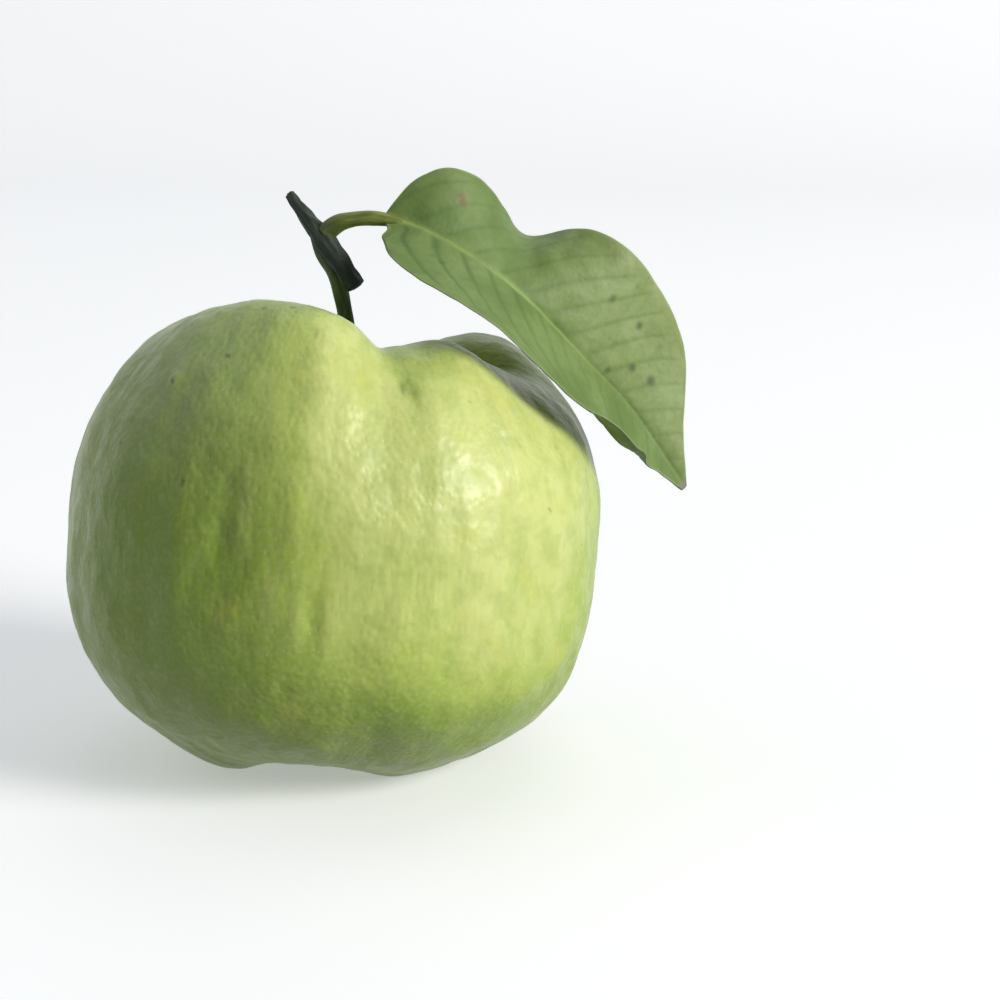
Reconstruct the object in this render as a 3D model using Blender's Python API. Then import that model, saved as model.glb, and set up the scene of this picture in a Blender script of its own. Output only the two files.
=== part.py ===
"""Guava: one whole round white-fleshed fruit with its stalk, a stub of twig and one leaf.

Every piece is its own closed body, in metres, +Z up. The fruit rests on a few low flats of its
blossom end on the plane Z = 0, the middle of the whole piece's box is over the origin, and -Y is
the front, from which the upper face of the leaf is seen.
"""
import math

import bpy
import numpy as np

MM = 0.001

# Fruit: a squat rounded body about the axis from stalk to blossom end
FRUIT_HALF_WIDTH = 47.1 * MM
FRUIT_HALF_DEPTH = 45.9 * MM
FRUIT_UP = 38.0 * MM
FRUIT_DOWN = 39.3 * MM
FRUIT_CENTRE = (0.1 * MM, 0.0, 40.4 * MM)
ROUNDNESS_UP = 2.46
ROUNDNESS_DOWN = 2.96
FRUIT_LEAN_RIGHT = 5.3
FRUIT_LEAN_BACK = 6.7

# Stalk cavity and blossom basin: depth and radius
CAVITY_DEPTH = 15.2 * MM
CAVITY_RADIUS = 14.2 * MM
BASIN_DEPTH = 4.5 * MM
BASIN_RADIUS = 9.5 * MM

# Furrows and shoulders round the fruit: direction and half spread in degrees, size, and for a furrow
# the fall in degrees where a third of it is left
FURROWS = (
    (283, 10, 2.7 * MM, 200),
    (353, 9, 8.2 * MM, 32),
    (67, 20, 3.6 * MM, 200),
    (139, 21, 3.4 * MM, 200),
    (188, 20, 0.8 * MM, 200),
)
SHOULDERS = (
    (261, 35, 6.4 * MM),
    (218, 41, 5.1 * MM),
    (314, 13, 3.1 * MM),
    (22, 26, 4.2 * MM),
    (174, 22, 2.8 * MM),
)

# Low lobes of the blossom end that the fruit rests on
FEET = ((322, 26, 2.6 * MM), (92, 26, 0.6 * MM), (204, 34, 4.9 * MM))
FEET_RING = 0.34
FEET_RING_SPREAD = 0.25

FRUIT_RINGS = 44
FRUIT_SIDES = 72

# Calyx: the dried crown of five sepals in the blossom basin
CALYX_LOBES = 5
CALYX_RADIUS = 5.0 * MM
CALYX_LOBE_REACH = 1.5 * MM
CALYX_THICKNESS = 0.9 * MM
CALYX_GAP = 0.45 * MM
CALYX_CURL = 0.2
CALYX_SIDES = 50
CALYX_RINGS = 5

# Twig stub: a bare growing end, a swollen node and a square cut end
TWIG_TIP = (-7.5 * MM, 8.0 * MM, 99.7 * MM)
TWIG_BEND = (-4.55 * MM, 5.4 * MM, 96.1 * MM)
TWIG_NODE = (-1.2 * MM, 3.1 * MM, 92.4 * MM)
TWIG_CUT = (4.35 * MM, 0.0, 84.75 * MM)
TWIG_RADII = (
    (0.0, 0.8 * MM),
    (0.08, 0.95 * MM),
    (0.2, 1.2 * MM),
    (0.35, 1.5 * MM),
    (0.5, 1.9 * MM),
    (0.62, 1.85 * MM),
    (0.78, 1.75 * MM),
    (1.0, 1.6 * MM),
)

# Fruit stalk: from behind the node, close along the twig and down to the floor of the cavity
STALK_ROUTE = (
    (-3.53 * MM, 6.45 * MM, 92.75 * MM),
    (-2.14 * MM, 6.05 * MM, 90.33 * MM),
    (-1.13 * MM, 5.15 * MM, 88.68 * MM),
    (-0.12 * MM, 4.25 * MM, 86.97 * MM),
    (0.85 * MM, 3.3 * MM, 85.1 * MM),
    (1.6 * MM, 2.9 * MM, 82.8 * MM),
    (2.15 * MM, 2.9 * MM, 79.8 * MM),
    (2.65 * MM, 2.8 * MM, 75.0 * MM),
    (2.85 * MM, 2.6 * MM, 69.5 * MM),
    (2.7 * MM, 2.6 * MM, 64.05 * MM),
)
STALK_RADII = (
    (0.0, 0.8 * MM),
    (0.08, 1.35 * MM),
    (0.25, 1.5 * MM),
    (0.5, 1.3 * MM),
    (0.85, 1.4 * MM),
    (1.0, 1.7 * MM),
)

# Leaf stalk: from the node up over to the base of the blade
LEAF_STALK_ROUTE = (
    (0.1 * MM, 2.95 * MM, 94.5 * MM),
    (1.65 * MM, 2.2 * MM, 95.55 * MM),
    (3.75 * MM, 1.5 * MM, 96.1 * MM),
    (5.8 * MM, 0.8 * MM, 96.4 * MM),
    (7.45 * MM, 0.35 * MM, 96.5 * MM),
    (8.55 * MM, 0.03 * MM, 96.55 * MM),
)
LEAF_STALK_RADII = ((0.0, 1.6 * MM), (0.3, 1.45 * MM), (0.8, 1.25 * MM), (1.0, 1.2 * MM))

# Leaf blade: the route of its middle rib, from the base over the fruit to the tip
RIB_ROUTE = (
    (9.5 * MM, -0.2 * MM, 96.8 * MM),
    (13.7 * MM, -1.1 * MM, 96.0 * MM),
    (18.7 * MM, -2.5 * MM, 93.9 * MM),
    (27.5 * MM, -3.5 * MM, 88.5 * MM),
    (36.0 * MM, -3.0 * MM, 81.1 * MM),
    (43.95 * MM, 1.5 * MM, 72.05 * MM),
    (52.6 * MM, 7.5 * MM, 62.0 * MM),
    (58.4 * MM, 10.5 * MM, 53.5 * MM),
    (63.5 * MM, 11.5 * MM, 45.6 * MM),
)
LEAF_THICKNESS = 0.7 * MM
LEAF_FACING_TILT = 14.0

# Half width of the blade at shares of its length
HALF_WIDTHS = (
    (0.0, 6.0 * MM),
    (0.06, 11.4 * MM),
    (0.11, 14.0 * MM),
    (0.2, 17.3 * MM),
    (0.3, 19.2 * MM),
    (0.5, 20.3 * MM),
    (0.6, 20.0 * MM),
    (0.7, 18.2 * MM),
    (0.78, 14.4 * MM),
    (0.85, 8.9 * MM),
    (0.9, 5.4 * MM),
    (1.0, 0.5 * MM),
)

# Fold of each half at shares of the length, in degrees: 0 faces the front, less than 0 comes forward
UPPER_FOLD_AT_RIB = (
    (0, 0),
    (0.1, 10),
    (0.21, 30),
    (0.295, 40),
    (0.375, 22),
    (0.46, 6),
    (0.6, 6),
    (0.8, 8),
    (1, 10),
)
UPPER_FOLD_AT_EDGE = (
    (0, 10),
    (0.1, 30),
    (0.21, 69),
    (0.295, 79),
    (0.375, 54),
    (0.46, 26),
    (0.6, 18),
    (0.8, 24),
    (1, 20),
)
LOWER_FOLD_AT_RIB = (
    (0, -10),
    (0.06, -30),
    (0.16, -46),
    (0.3, -55),
    (0.5, -56),
    (0.7, -48),
    (0.84, -52),
    (1, -30),
)
LOWER_FOLD_AT_EDGE = (
    (0, -40),
    (0.06, -56),
    (0.16, -76),
    (0.3, -84),
    (0.5, -97),
    (0.6, -120),
    (0.7, -127),
    (0.78, -124),
    (0.85, -92),
    (1, -50),
)
UPPER_FOLD = (UPPER_FOLD_AT_RIB, UPPER_FOLD_AT_EDGE, 1.3)
LOWER_FOLD = (LOWER_FOLD_AT_RIB, LOWER_FOLD_AT_EDGE, 2.2)

# Each half of the blade: share of the half width, share of the length its base is rounded over, power
UPPER_HALF = (0.97, 0.09, 0.8)
LOWER_HALF = (1.0, 0.185, 0.75)

# Lobe of the lower base: how far it is swept back, at which share of the length, and where it sets in
LOBE_REACH = 2.0 * MM
LOBE_PLACE = 0.032
LOBE_START = 1.6 * MM
LOBE_FULL = 4.8 * MM

# Middle rib: a ridge under the blade that thins towards the tip
RIB_DEPTH_AT_BASE = 0.9 * MM
RIB_DEPTH_AT_TIP = 0.15 * MM
RIB_HALF_WIDTH = 1.3 * MM
LEAF_ROWS = 44
LEAF_COLUMNS = (0.0, 0.05, 0.11, 0.2, 0.32, 0.45, 0.58, 0.7, 0.81, 0.91, 1.0)

# Colour, roughness and metallic value of each piece
LOOKS = {
    "fruit": ((0.40, 0.50, 0.12, 1.0), 0.38, 0.0),
    "calyx": ((0.10, 0.065, 0.03, 1.0), 0.85, 0.0),
    "twig": ((0.035, 0.045, 0.032, 1.0), 0.7, 0.0),
    "fruit_stalk": ((0.045, 0.065, 0.028, 1.0), 0.6, 0.0),
    "leaf_stalk": ((0.17, 0.22, 0.05, 1.0), 0.5, 0.0),
    "leaf_blade": ((0.20, 0.36, 0.12, 1.0), 0.45, 0.0),
}


def clear_scene():
    """Removes what the scene holds at the start."""
    for item in list(bpy.data.objects):
        bpy.data.objects.remove(item, do_unlink=True)


def smooth_step(value, low, high):
    """Rises from 0 at low to 1 at high without a corner."""
    share = np.clip((value - low) / (high - low), 0, 1)
    return share * share * (3 - 2 * share)


def through(pairs, at):
    """Smooth curve through (place, value) pairs, read at the places asked for."""
    places, values = np.array(pairs, dtype=float).T
    slopes = np.gradient(values, places)
    left = np.clip(np.searchsorted(places, at) - 1, 0, len(places) - 2)
    step = places[left + 1] - places[left]
    t = (at - places[left]) / step
    start = (2 * t**3 - 3 * t**2 + 1) * values[left] + (t**3 - 2 * t**2 + t) * step * slopes[left]
    end = (3 * t**2 - 2 * t**3) * values[left + 1] + (t**3 - t**2) * step * slopes[left + 1]
    return start + end


def route(points, count):
    """Evenly spaced points on a smooth curve through the given ones, and its length."""
    p = np.array(points, dtype=float)
    p = np.vstack([2 * p[0] - p[1], p, 2 * p[-1] - p[-2]])
    spans = len(p) - 3
    u = np.linspace(0, spans, 60 * spans + 1)
    k = np.minimum(u.astype(int), spans - 1)
    t = (u - k)[:, None]
    a, b, c, d = p[k], p[k + 1], p[k + 2], p[k + 3]
    fine = 0.5 * (2 * b + (c - a) * t + (2 * a - 5 * b + 4 * c - d) * t**2 + (3 * b - a - 3 * c + d) * t**3)
    walked = np.concatenate([[0], np.cumsum(np.linalg.norm(np.diff(fine, axis=0), axis=1))])
    even = np.linspace(0, walked[-1], count)
    return np.stack([np.interp(even, walked, fine[:, axis]) for axis in range(3)], axis=1), walked[-1]


def directions(points):
    """Unit direction of travel at each point of a route."""
    ahead = np.gradient(points, axis=0)
    return ahead / np.linalg.norm(ahead, axis=1, keepdims=True)


def bumps(turn, features):
    """Sum of bell-shaped features round the fruit at the given turns."""
    total = np.zeros_like(turn)
    for degrees, spread, size in features:
        away = (turn - math.radians(degrees) + math.pi) % (2 * math.pi) - math.pi
        total = total + size * np.exp(-((away / math.radians(spread)) ** 2))
    return total


def furrow_depth(fall, turn):
    """Sum of the furrows, each shrinking to a third of its size at its own fall."""
    total = np.zeros(np.broadcast(fall, turn).shape)
    for degrees, spread, size, reach in FURROWS:
        total = total + bumps(turn, ((degrees, spread, size),)) * np.exp(-((fall / math.radians(reach)) ** 4))
    return total


def lean(points):
    """Tips the fruit's axis to the right and back, and moves its centre to its place."""
    x, y, z = points[..., 0], points[..., 1], points[..., 2]
    right = math.radians(FRUIT_LEAN_RIGHT)
    back = math.radians(FRUIT_LEAN_BACK)
    x, z = x * math.cos(right) + z * math.sin(right), z * math.cos(right) - x * math.sin(right)
    y, z = y * math.cos(back) + z * math.sin(back), z * math.cos(back) - y * math.sin(back)
    return np.stack([x, y, z], axis=-1) + FRUIT_CENTRE


def fruit_surface(fall, turn):
    """Skin of the fruit: fall from 0 at the stalk to pi at the blossom end, turn round the axis.

    A meridian is a rounded square curve. Furrows pull it in and lower its shoulders, the shoulders
    raise it, a cavity and a basin dimple its ends, and low lobes are pressed flat on the ground.
    """
    side, height = np.sin(fall), np.cos(fall)
    power = np.where(height > 0, ROUNDNESS_UP, ROUNDNESS_DOWN)
    out = np.abs(side) ** (2 / power)
    rise = np.sign(height) * np.abs(height) ** (2 / power) * np.where(height > 0, FRUIT_UP, FRUIT_DOWN)
    furrow = furrow_depth(fall, turn)
    crown = np.exp(-(((out - 0.6) / 0.34) ** 2)) * smooth_step(height, 0, 0.45) * smooth_step(out, 0, 0.3)
    shoulder_share = 0.62 * np.exp(-(((fall - 0.78) / 0.42) ** 2))
    base_share = 0.55 * np.exp(-(((fall - 2.5) / 0.4) ** 2))
    out = out * (1 - furrow / FRUIT_HALF_WIDTH * (0.13 + shoulder_share + base_share))
    x = FRUIT_HALF_WIDTH * out * np.cos(turn)
    y = FRUIT_HALF_DEPTH * out * np.sin(turn)
    from_axis = np.hypot(x, y)
    z = rise + crown * (bumps(turn, SHOULDERS) - 0.95 * furrow)
    z = z - CAVITY_DEPTH * np.exp(-((from_axis / CAVITY_RADIUS) ** 1.6)) * (height > 0)
    z = z + BASIN_DEPTH * np.exp(-((from_axis / BASIN_RADIUS) ** 2)) * (height < 0)
    z = z - bumps(turn, FEET) * np.exp(-(((out - FEET_RING) / FEET_RING_SPREAD) ** 2)) * (height < 0)
    points = lean(np.stack([x, y, z], axis=-1))
    points[..., 2] = np.maximum(points[..., 2], 0)
    return points


def even_falls(count):
    """Values of fall that space the rings evenly along a meridian."""
    fine = np.linspace(0, math.pi, 4001)
    line = fruit_surface(fine, np.full_like(fine, math.pi))
    walked = np.concatenate([[0], np.cumsum(np.linalg.norm(np.diff(line, axis=0), axis=1))])
    return np.interp(np.linspace(0, walked[-1], count), walked, fine)


def material(name):
    """Plain surface of one piece."""
    colour, roughness, metallic = LOOKS[name]
    made = bpy.data.materials.new(name)
    made.use_nodes = True
    shader = made.node_tree.nodes["Principled BSDF"]
    shader.inputs["Base Color"].default_value = colour
    shader.inputs["Roughness"].default_value = roughness
    shader.inputs["Metallic"].default_value = metallic
    made.diffuse_color = colour
    return made


def body(name, vertices, faces, sharp_degrees=50):
    """One named object from points and faces, smooth but for its sharp edges."""
    mesh = bpy.data.meshes.new(name)
    mesh.from_pydata([tuple(point) for point in vertices], [], faces)
    mesh.materials.append(material(name))
    mesh.shade_smooth()
    mesh.set_sharp_from_angle(angle=math.radians(sharp_degrees))
    made = bpy.data.objects.new(name, mesh)
    bpy.context.scene.collection.objects.link(made)
    return made


def closed_rings(rings, first, last):
    """Faces and points of a body of stacked rings, closed by one point at each end."""
    count, sides = rings.shape[:2]
    points = np.vstack([[first], rings.reshape(-1, 3), [last]])
    faces = []
    for side in range(sides):
        after = (side + 1) % sides
        faces.append((0, 1 + side, 1 + after))
        for ring in range(count - 1):
            here = 1 + ring * sides
            below = here + sides
            faces.append((here + side, below + side, below + after, here + after))
        end = 1 + (count - 1) * sides
        faces.append((len(points) - 1, end + after, end + side))
    return points, faces


def stem(name, points, radii, sides, rings):
    """Round stem along a route, with flat ends, whose radius follows (share, radius) pairs."""
    middle, _ = route(points, rings)
    ahead = directions(middle)
    across = np.cross(ahead, (0.0, -1.0, 0.2))
    across = across / np.linalg.norm(across, axis=1, keepdims=True)
    over = np.cross(across, ahead)
    turn = np.linspace(0, 2 * math.pi, sides, endpoint=False)
    radius = through(radii, np.linspace(0, 1, rings))
    around = np.cos(turn)[None, :, None] * across[:, None] + np.sin(turn)[None, :, None] * over[:, None]
    rings_out = middle[:, None] + radius[:, None, None] * around
    vertices, faces = closed_rings(rings_out, middle[0], middle[-1])
    return body(name, vertices, faces)


def make_fruit():
    falls = even_falls(FRUIT_RINGS + 2)[1:-1]
    turn = np.linspace(0, 2 * math.pi, FRUIT_SIDES, endpoint=False)
    rings = fruit_surface(falls[:, None], turn[None, :])
    poles = fruit_surface(np.array([0.0, math.pi]), np.zeros(2))
    vertices, faces = closed_rings(rings, poles[0], poles[1])
    return body("fruit", vertices, faces)


def make_calyx():
    """Thin star-shaped cup that follows the ceiling of the basin, five lobes curling down."""
    turn = np.linspace(0, 2 * math.pi, CALYX_SIDES, endpoint=False)
    edge = CALYX_RADIUS + CALYX_LOBE_REACH * np.cos(CALYX_LOBES * turn)
    share = (np.arange(CALYX_RINGS) + 1) / CALYX_RINGS
    from_axis = share[:, None] * edge[None, :]
    fall = math.pi - np.arcsin((from_axis / FRUIT_HALF_WIDTH) ** (ROUNDNESS_DOWN / 2))
    lobe = np.clip(from_axis - CALYX_RADIUS, 0, None)
    upper = fruit_surface(fall, turn[None, :])
    upper[..., 2] -= CALYX_GAP + CALYX_CURL * lobe
    lower = upper.copy()
    lower[..., 2] -= CALYX_THICKNESS * (1.1 - 0.4 * share[:, None])
    rings = np.concatenate([upper, lower[::-1]])
    ceiling = fruit_surface(np.array(math.pi), np.array(0.0))
    top = ceiling - (0, 0, CALYX_GAP)
    vertices, faces = closed_rings(rings, top, top - (0, 0, 0.6 * CALYX_THICKNESS))
    return body("calyx", vertices, faces)


def half_widths(along, half):
    """Length of each row of one half of the blade, rounded off towards its base."""
    share, reach, power = half
    return share * through(HALF_WIDTHS, along) * (1 - (1 - np.minimum(along / reach, 1)) ** 2) ** power


def lobe_sweep(along, reach):
    """How far the lower half is swept back at a share of the length and a distance from the rib."""
    back = LOBE_REACH * (along / LOBE_PLACE) * np.exp(1 - along / LOBE_PLACE)
    return back * smooth_step(reach, LOBE_START, LOBE_FULL)


def blade_half(rib, along, half_width, side, fold):
    """Middle surface of one half of the blade, from the rib outwards.

    Each row starts on the rib and bends through the fold angles, so that its length on the
    surface stays the half width of the leaf there.
    """
    tilt = math.radians(LEAF_FACING_TILT)
    facing = np.array([0.0, -math.cos(tilt), math.sin(tilt)])
    ahead = directions(rib)
    across = np.cross(facing, ahead)
    across = across / np.linalg.norm(across, axis=1, keepdims=True)
    behind = np.cross(ahead, across)
    behind = behind * np.where(behind[:, 1:2] < 0, -1.0, 1.0)
    fine = np.linspace(0, 1, 201)
    at_rib, at_edge, power = fold
    first = np.radians(through(at_rib, along))[:, None]
    last = np.radians(through(at_edge, along))[:, None]
    angle = first + (last - first) * fine[None, :] ** power
    step = half_width[:, None] / (len(fine) - 1)
    middle = 0.5 * (angle[:, 1:] + angle[:, :-1])
    start = np.zeros((len(along), 1))
    out = np.concatenate([start, np.cumsum(np.cos(middle) * step, axis=1)], axis=1)
    away = np.concatenate([start, np.cumsum(np.sin(middle) * step, axis=1)], axis=1)
    pick = np.rint(np.array(LEAF_COLUMNS) * (len(fine) - 1)).astype(int)
    sideways = side * out[:, pick, None] * across[:, None]
    surface = rib[:, None] + sideways + away[:, pick, None] * behind[:, None]
    if side < 0:
        reach = half_width[:, None] * np.array(LEAF_COLUMNS)
        surface = surface - lobe_sweep(along[:, None], reach)[..., None] * ahead[:, None]
    return surface


def surface_normals(grid):
    """Unit normals of a grid of points, from the runs of its rows and columns."""
    normal = np.cross(np.gradient(grid, axis=0), np.gradient(grid, axis=1))
    return normal / np.linalg.norm(normal, axis=2, keepdims=True)


def make_leaf_blade():
    rib, _ = route(RIB_ROUTE, LEAF_ROWS)
    along = np.linspace(0.002, 1, LEAF_ROWS)
    upper_width = half_widths(along, UPPER_HALF)
    lower_width = half_widths(along, LOWER_HALF)
    upper = blade_half(rib, along, upper_width, 1, UPPER_FOLD)
    lower = blade_half(rib, along, lower_width, -1, LOWER_FOLD)
    middle = np.concatenate([lower[:, ::-1], upper[:, 1:]], axis=1)
    normal = surface_normals(middle)
    if normal[len(rib) // 2, 3 * len(LEAF_COLUMNS) // 2 - 1, 1] > 0:
        normal = -normal
    columns = np.array(LEAF_COLUMNS)
    lower_reach = lower_width[:, None] * columns[::-1]
    upper_reach = upper_width[:, None] * columns[1:]
    from_rib = np.concatenate([lower_reach, upper_reach], axis=1)
    ridge = RIB_DEPTH_AT_BASE + (RIB_DEPTH_AT_TIP - RIB_DEPTH_AT_BASE) * np.sqrt(along)[:, None]
    ridge = ridge * np.exp(-((from_rib / RIB_HALF_WIDTH) ** 2))
    front = middle + 0.5 * LEAF_THICKNESS * normal
    back = middle - (0.5 * LEAF_THICKNESS + ridge[..., None]) * normal
    rows, columns = middle.shape[:2]
    vertices = np.concatenate([front.reshape(-1, 3), back.reshape(-1, 3)])
    faces = []
    shift = rows * columns

    def at(row, column):
        return row * columns + column

    for row in range(rows - 1):
        for column in range(columns - 1):
            a, b = at(row, column), at(row + 1, column)
            c, d = at(row + 1, column + 1), at(row, column + 1)
            faces += [(a, b, c), (a, c, d)]
            faces += [(shift + a, shift + c, shift + b), (shift + a, shift + d, shift + c)]
    border = [at(row, 0) for row in range(rows)]
    border += [at(rows - 1, column) for column in range(1, columns)]
    border += [at(row, columns - 1) for row in range(rows - 2, -1, -1)]
    border += [at(0, column) for column in range(columns - 2, 0, -1)]
    for here, after in zip(border, border[1:] + border[:1]):
        faces.append((after, here, shift + here, shift + after))
    return body("leaf_blade", vertices, faces)


def face_outwards(made):
    """Turns a body's faces over where its volume comes out negative."""
    mesh = made.data
    mesh.calc_loop_triangles()
    volume = 0.0
    for triangle in mesh.loop_triangles:
        a, b, c = (mesh.vertices[index].co for index in triangle.vertices)
        volume += a.dot(b.cross(c))
    if volume < 0:
        mesh.flip_normals()


def centre_over_origin(pieces):
    """Moves every piece so that the whole box is centred over the origin and stands on Z = 0."""
    corners = np.array([tuple(vertex.co) for piece in pieces for vertex in piece.data.vertices])
    low, high = corners.min(axis=0), corners.max(axis=0)
    shift = (-(low[0] + high[0]) / 2, -(low[1] + high[1]) / 2, -low[2])
    for piece in pieces:
        piece.location = shift


def main():
    clear_scene()
    pieces = [
        make_fruit(),
        make_calyx(),
        stem("twig", (TWIG_TIP, TWIG_BEND, TWIG_NODE, TWIG_CUT), TWIG_RADII, 16, 20),
        stem("fruit_stalk", STALK_ROUTE, STALK_RADII, 16, 28),
        stem("leaf_stalk", LEAF_STALK_ROUTE, LEAF_STALK_RADII, 16, 10),
        make_leaf_blade(),
    ]
    for piece in pieces:
        face_outwards(piece)
    centre_over_origin(pieces)
    plant = bpy.data.objects.new("guava", None)
    bpy.context.scene.collection.objects.link(plant)
    for piece in pieces:
        piece.parent = plant


main()
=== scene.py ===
import math

import bpy
import numpy as np
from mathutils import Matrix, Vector


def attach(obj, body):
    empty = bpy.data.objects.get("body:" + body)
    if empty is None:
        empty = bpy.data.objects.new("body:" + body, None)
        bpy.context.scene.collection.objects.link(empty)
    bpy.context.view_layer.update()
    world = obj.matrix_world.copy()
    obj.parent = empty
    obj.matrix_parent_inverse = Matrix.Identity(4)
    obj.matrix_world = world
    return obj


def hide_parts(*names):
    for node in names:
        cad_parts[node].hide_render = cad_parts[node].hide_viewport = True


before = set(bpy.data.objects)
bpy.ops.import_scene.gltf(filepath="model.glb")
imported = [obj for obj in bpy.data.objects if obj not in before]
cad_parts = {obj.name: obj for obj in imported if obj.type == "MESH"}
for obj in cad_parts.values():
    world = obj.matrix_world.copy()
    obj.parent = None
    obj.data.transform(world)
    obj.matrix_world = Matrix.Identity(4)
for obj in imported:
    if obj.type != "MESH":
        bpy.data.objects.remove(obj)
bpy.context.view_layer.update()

# A whole guava with its stalk, a stub of twig and one folded leaf. Lengths are in metres and angles in
# degrees. Fall is the angle down from the stalk end of the fruit, turn the angle round its axis.
MM = 0.001

# The middle of the whole piece's box, which stands over the origin
BOX_MIDDLE = np.array([8.343, -0.265, 0.0]) * MM

# Fruit, as the solids have it
FRUIT_HALF_WIDTH = 47.1 * MM
FRUIT_HALF_DEPTH = 45.9 * MM
FRUIT_UP = 38.0 * MM
FRUIT_DOWN = 39.3 * MM
FRUIT_CENTRE = (0.1 * MM, 0.0, 40.4 * MM)
ROUNDNESS_UP = 2.46
ROUNDNESS_DOWN = 2.96
FRUIT_LEAN_RIGHT = 5.3
FRUIT_LEAN_BACK = 6.7
CAVITY_DEPTH = 15.2 * MM
CAVITY_RADIUS = 14.2 * MM
BASIN_DEPTH = 4.5 * MM
BASIN_RADIUS = 9.5 * MM

# Furrows: turn and half width in degrees, depth, and the fall in degrees where a third of it is left
FURROWS = (
    (283, 10, 2.7 * MM, 200),
    (353, 9, 8.2 * MM, 32),
    (67, 20, 3.6 * MM, 200),
    (139, 21, 3.4 * MM, 200),
    (188, 20, 0.8 * MM, 200),
)

# Raised shoulders and low lobes underneath: turn and half width in degrees, height
SHOULDERS = (
    (261, 35, 6.4 * MM),
    (218, 41, 5.1 * MM),
    (314, 13, 3.1 * MM),
    (22, 26, 4.2 * MM),
    (174, 22, 2.8 * MM),
)
FEET = ((322, 26, 2.6 * MM), (92, 26, 0.6 * MM), (204, 34, 4.9 * MM))
FEET_RING = 0.34
FEET_RING_SPREAD = 0.25
SKIN_RINGS = 232
SKIN_SIDES = 420

# Unevenness of the skin: size of the bumps, their height and a seed, as for the calyx and the leaf
SKIN_LUMPS = (
    (17 * MM, 0.15 * MM, 11),
    (7.5 * MM, 0.05 * MM, 12),
    (3.4 * MM, 0.017 * MM, 13),
    (1.9 * MM, 0.009 * MM, 14),
)

# Low ribs from end to end of the skin: their width, how many times longer than wide they are, height
SKIN_RIB_WIDTH = 6.5 * MM
SKIN_RIB_LENGTH = 4.5
SKIN_RIB_HEIGHT = 0.06 * MM
SKIN_RIB_SEED = 21

# Dents and raised scars of the skin: turn, fall, reach along the meridian, reach round it, height
SKIN_MARKS = (
    (228.8, 57, 2.0 * MM, 0.9 * MM, 0.42 * MM),
    (228.8, 57.6, 0.6 * MM, 0.35 * MM, -0.32 * MM),
    (221, 39.5, 1.0 * MM, 4.5 * MM, 0.20 * MM),
    (227, 36.5, 0.9 * MM, 3.5 * MM, 0.16 * MM),
    (209, 60, 5.0 * MM, 0.9 * MM, 0.18 * MM),
    (212, 54, 4.0 * MM, 0.8 * MM, -0.14 * MM),
    (233, 29, 3.5 * MM, 3.0 * MM, 0.25 * MM),
    (263, 41, 2.2 * MM, 0.9 * MM, -0.18 * MM),
    (270, 95.5, 3.6 * MM, 1.5 * MM, -0.46 * MM),
    (267.2, 96.5, 4.6 * MM, 1.3 * MM, 0.28 * MM),
    (273.4, 96, 5.0 * MM, 1.4 * MM, 0.24 * MM),
    (261.5, 93, 5.0 * MM, 1.6 * MM, 0.20 * MM),
    (265, 110, 4.0 * MM, 1.4 * MM, -0.20 * MM),
    (250, 84, 7.0 * MM, 2.0 * MM, -0.26 * MM),
    (254.5, 82, 6.0 * MM, 1.6 * MM, 0.20 * MM),
    (288, 46, 2.8 * MM, 1.3 * MM, -0.42 * MM),
    (290.5, 51, 2.4 * MM, 0.9 * MM, -0.28 * MM),
    (284, 44, 3.0 * MM, 0.9 * MM, 0.16 * MM),
    (296, 55, 4.0 * MM, 1.1 * MM, 0.12 * MM),
    (307.5, 50, 1.6 * MM, 1.6 * MM, -0.16 * MM),
    (323, 78, 1.1 * MM, 0.8 * MM, -0.18 * MM),
    (322.6, 79, 2.0 * MM, 1.2 * MM, 0.10 * MM),
)

# Dark marks on the skin: turn, fall, reach along and round, strength
SKIN_STAINS = (
    (219.5, 72.9, 0.34 * MM, 0.34 * MM, 0.9),
    (225.2, 72.5, 0.30 * MM, 0.34 * MM, 0.8),
    (240, 78.2, 0.42 * MM, 0.38 * MM, 1.0),
    (241.5, 50.2, 0.22 * MM, 1.0 * MM, 0.85),
    (242.5, 52.6, 0.26 * MM, 0.5 * MM, 0.6),
    (239, 57.1, 0.35 * MM, 0.3 * MM, 0.6),
    (228.8, 57.6, 0.4 * MM, 0.25 * MM, 0.9),
    (188.2, 39.8, 0.3 * MM, 0.6 * MM, 0.7),
    (243.2, 35.1, 0.3 * MM, 0.7 * MM, 0.7),
    (252.2, 33.1, 0.28 * MM, 0.9 * MM, 0.8),
    (255, 34.5, 0.25 * MM, 0.5 * MM, 0.6),
    (262.8, 40.8, 1.2 * MM, 0.35 * MM, 0.35),
    (288, 46.1, 1.5 * MM, 0.4 * MM, 0.4),
    (291, 48, 0.9 * MM, 0.35 * MM, 0.35),
    (351.2, 69.5, 0.55 * MM, 0.3 * MM, 0.7),
    (344.8, 69.3, 0.32 * MM, 0.3 * MM, 0.5),
    (323, 78, 0.35 * MM, 0.3 * MM, 0.7),
    (307.8, 48.6, 0.28 * MM, 0.28 * MM, 0.5),
    (305, 51.2, 0.3 * MM, 0.26 * MM, 0.4),
    (315.2, 61.8, 0.3 * MM, 0.24 * MM, 0.6),
    (316.5, 63.2, 0.24 * MM, 0.24 * MM, 0.4),
    (331, 62, 0.28 * MM, 0.28 * MM, 0.5),
    (40, 60, 0.5 * MM, 0.5 * MM, 0.8),
    (75, 80, 0.45 * MM, 0.4 * MM, 0.7),
    (110, 55, 0.6 * MM, 0.4 * MM, 0.8),
    (150, 88, 0.4 * MM, 0.4 * MM, 0.8),
    (175, 66, 0.35 * MM, 0.8 * MM, 0.7),
    (190, 100, 0.4 * MM, 0.4 * MM, 0.8),
)

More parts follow.
